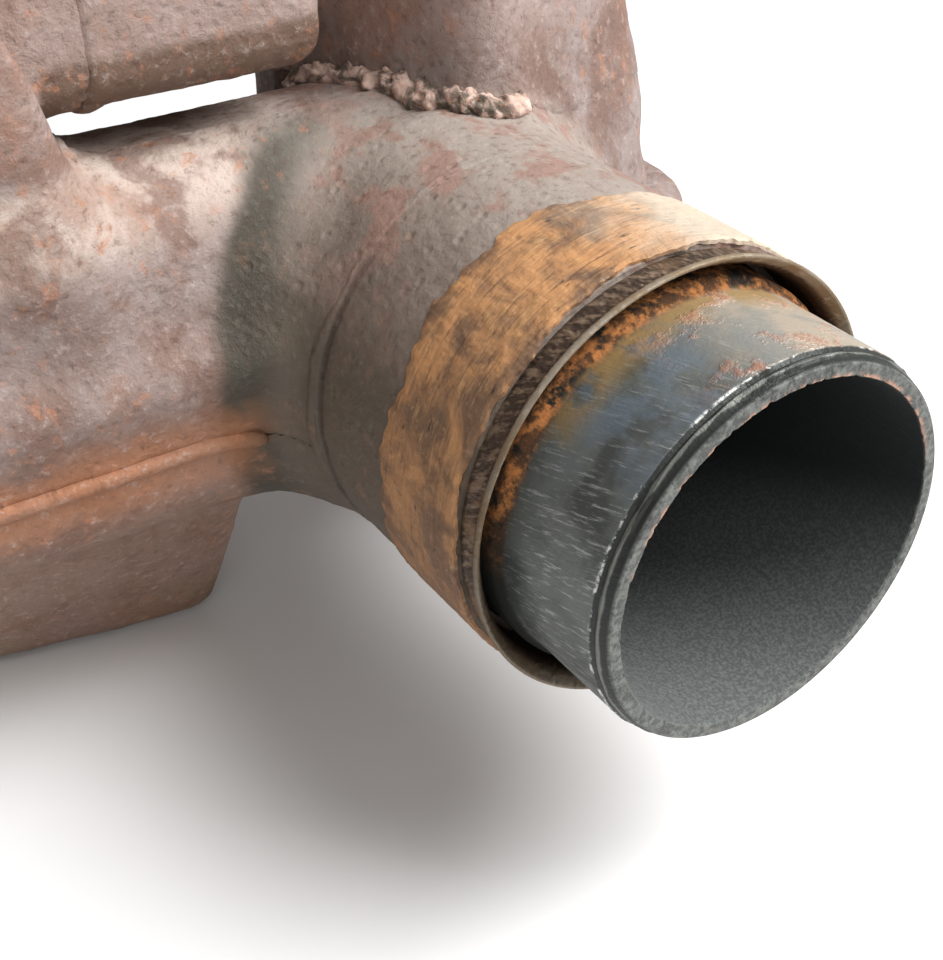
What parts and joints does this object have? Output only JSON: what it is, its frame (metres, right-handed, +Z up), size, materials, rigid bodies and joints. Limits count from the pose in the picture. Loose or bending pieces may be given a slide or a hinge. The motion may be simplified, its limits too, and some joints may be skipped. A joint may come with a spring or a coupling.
{
  "type": "concentric reducer",
  "caption": "Exhaust collector outlet whose neck steps down concentrically to a sliding spigot, with pressed shells, inlet runners and a head flange.",
  "frame": {"origin": "on the outlet axis, at the front plane of the retainer ring's flared lip", "axes": "+X along the outlet axis, out of the spigot's mouth; +Z up when it stands on its two feet; head flange faces -X"},
  "size_m": [0.1722, 0.173, 0.17],
  "materials": {
    "spigot_steel": "heat-darkened scratched steel",
    "ring_iron": "dark machined iron",
    "lip_steel": "dull grey-beige sheet steel",
    "sleeve_rust": "orange-brown heat rust",
    "neck_steel": "taupe oxidised steel",
    "shell_rust": "mauve-brown fine rust",
    "weld_bead": "dark crusty weld",
    "flange_steel": "rusted plate",
    "gasket_steel": "sooted embossed sheet"
  },
  "bodies": {
    "housing": {"retainer_ring": "lip_steel", "neck_sleeve": "sleeve_rust", "neck_pipe": "neck_steel", "neck_root_weld": "weld_bead", "upper_shell": "shell_rust", "lower_shell": "shell_rust", "shell_seam_weld": "weld_bead", "left_runner": "shell_rust", "middle_runner": "shell_rust", "right_runner": "shell_rust", "left_base_weld": "weld_bead", "right_base_weld": "weld_bead", "middle_joint_weld": "weld_bead", "head_flange": "flange_steel", "head_gasket": "gasket_steel", "left_port_weld": "weld_bead", "middle_port_weld": "weld_bead", "right_port_weld": "weld_bead"},
    "spigot": {"spigot_tube": "spigot_steel", "seal_ring_front": "ring_iron", "seal_ring_rear": "ring_iron"}
  },
  "joints": [
    {"name": "spigot_slide", "type": "slide", "parent": "housing", "child": "spigot", "axis": [1, 0, 0], "range_m": [-0.003, 0.002]}
  ]
}
